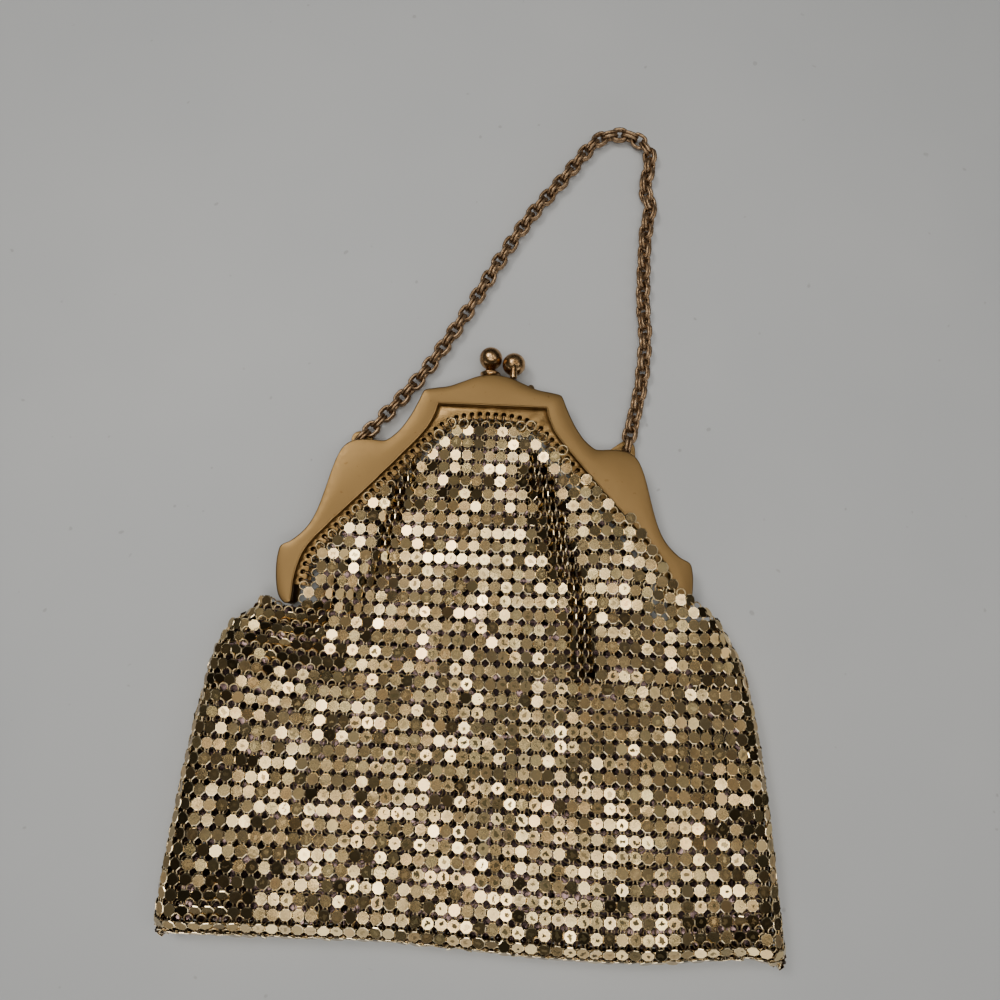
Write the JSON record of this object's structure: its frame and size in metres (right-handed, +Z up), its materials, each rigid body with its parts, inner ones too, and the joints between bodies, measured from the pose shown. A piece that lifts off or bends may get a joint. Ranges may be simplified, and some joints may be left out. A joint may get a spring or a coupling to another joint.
{
  "type": "metal mesh purse with kiss-lock frame and chain",
  "caption": "Small metal mesh purse lying on its back: stamped gold-tone kiss-lock frame, perforated strip, ring-mesh pouch and a chain handle.",
  "frame": {"origin": "under the middle of the whole purse with its chain, on the surface it lies on", "axes": "+X to the right of the front, +Y from the pouch's bottom toward the chain, +Z up out of the front"},
  "size_m": [0.1604, 0.2396, 0.0132],
  "materials": {
    "frame_gold": "satin gold-tone plating",
    "strip_gold": "satin gold-tone plating",
    "mesh_gold": "worn gold-tone plated ring mesh, tarnished at the plate centres",
    "clasp_brass": "polished antique brass",
    "pin_steel": "plain",
    "chain_bronze": "antique bronze"
  },
  "bodies": {
    "root": {"front_frame_plate": "frame_gold", "back_frame_plate": "frame_gold", "front_mesh_strip": "strip_gold", "back_mesh_strip": "strip_gold", "mesh_pouch": "mesh_gold", "clasp_ball_left": "clasp_brass", "clasp_ball_right": "clasp_brass", "hinge_pin_left": "pin_steel", "hinge_pin_right": "pin_steel", "carry_chain": "chain_bronze"}
  },
  "joints": []
}
